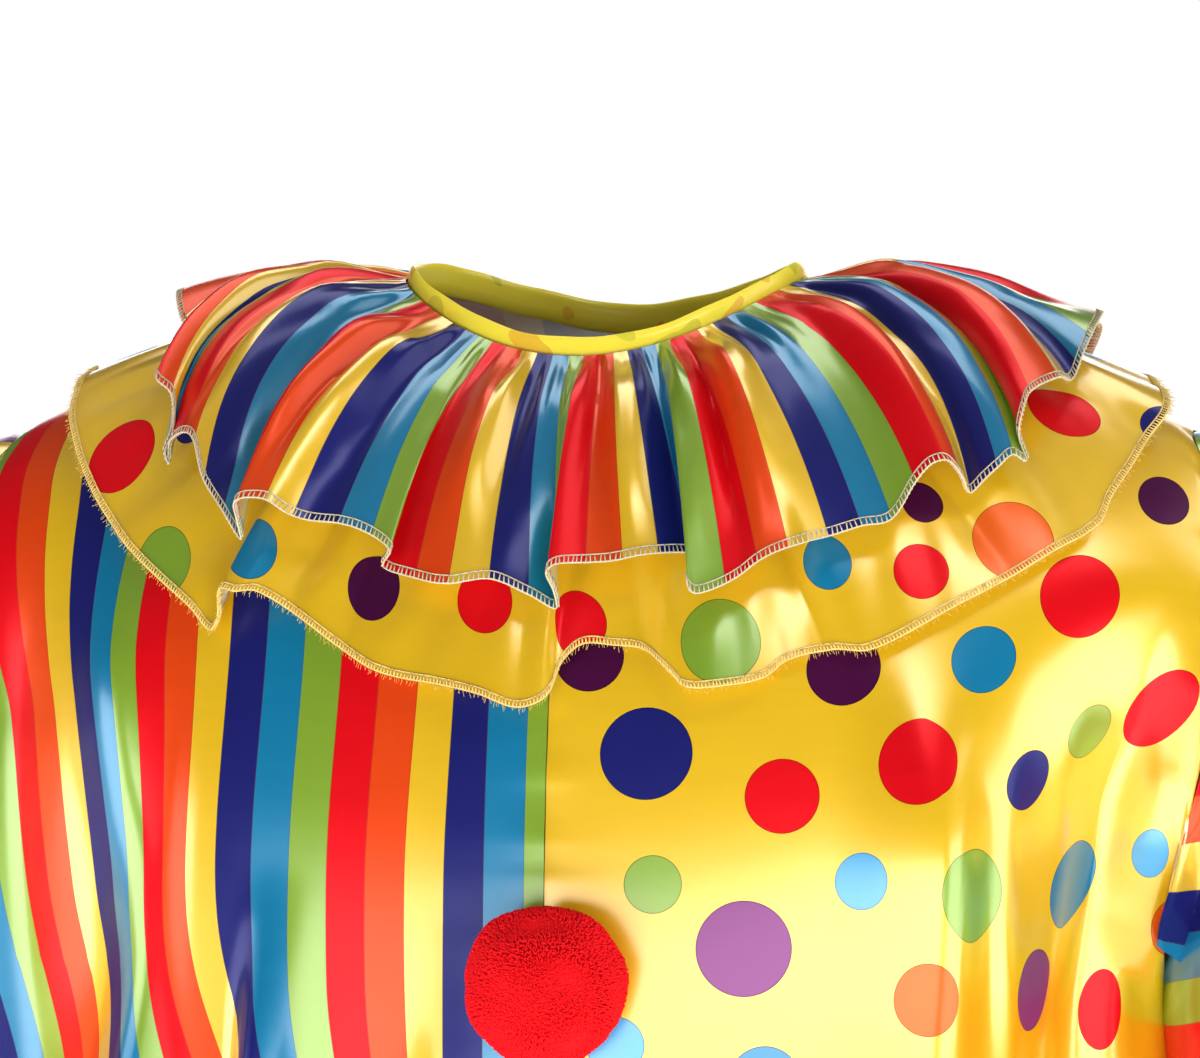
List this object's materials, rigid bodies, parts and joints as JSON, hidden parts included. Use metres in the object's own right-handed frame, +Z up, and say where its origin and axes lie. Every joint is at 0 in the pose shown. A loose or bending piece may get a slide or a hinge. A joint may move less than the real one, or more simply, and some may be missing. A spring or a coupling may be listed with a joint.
{
  "type": "clown costume",
  "caption": "Loose one-piece satin clown suit, half rainbow-striped and half dotted, with a tiered ruffled collar and a red pompom, in its hollow worn form.",
  "frame": {"origin": "middle of the neck opening at the height of the neck's side points, where the wearer's shoulders carry the suit", "axes": "+Z up along the body, the front faces -Y, +X towards the wearer's left arm"},
  "size_m": [0.9916, 0.3205, 1.4306],
  "materials": {
    "striped_satin": "glossy rainbow-striped polyester satin",
    "dotted_satin": "glossy yellow polyester satin with round dots",
    "binding_satin": "yellow satin bias binding",
    "pompom_yarn": "dense matte cut yarn",
    "serging_thread": "matte overlock thread"
  },
  "bodies": {
    "root": {"front_striped": "striped_satin", "back_striped": "striped_satin", "sleeve_striped": "striped_satin", "front_dotted": "dotted_satin", "back_dotted": "dotted_satin", "sleeve_dotted": "dotted_satin", "ruffle_lower_right_back": "dotted_satin", "ruffle_lower_right_front": "dotted_satin", "ruffle_lower_left_front": "dotted_satin", "ruffle_lower_left_back": "dotted_satin", "ruffle_upper_right_back": "striped_satin", "ruffle_upper_right_front": "striped_satin", "ruffle_upper_left_front": "striped_satin", "ruffle_upper_left_back": "striped_satin", "neck_binding": "binding_satin", "pompom": "pompom_yarn"}
  },
  "joints": []
}
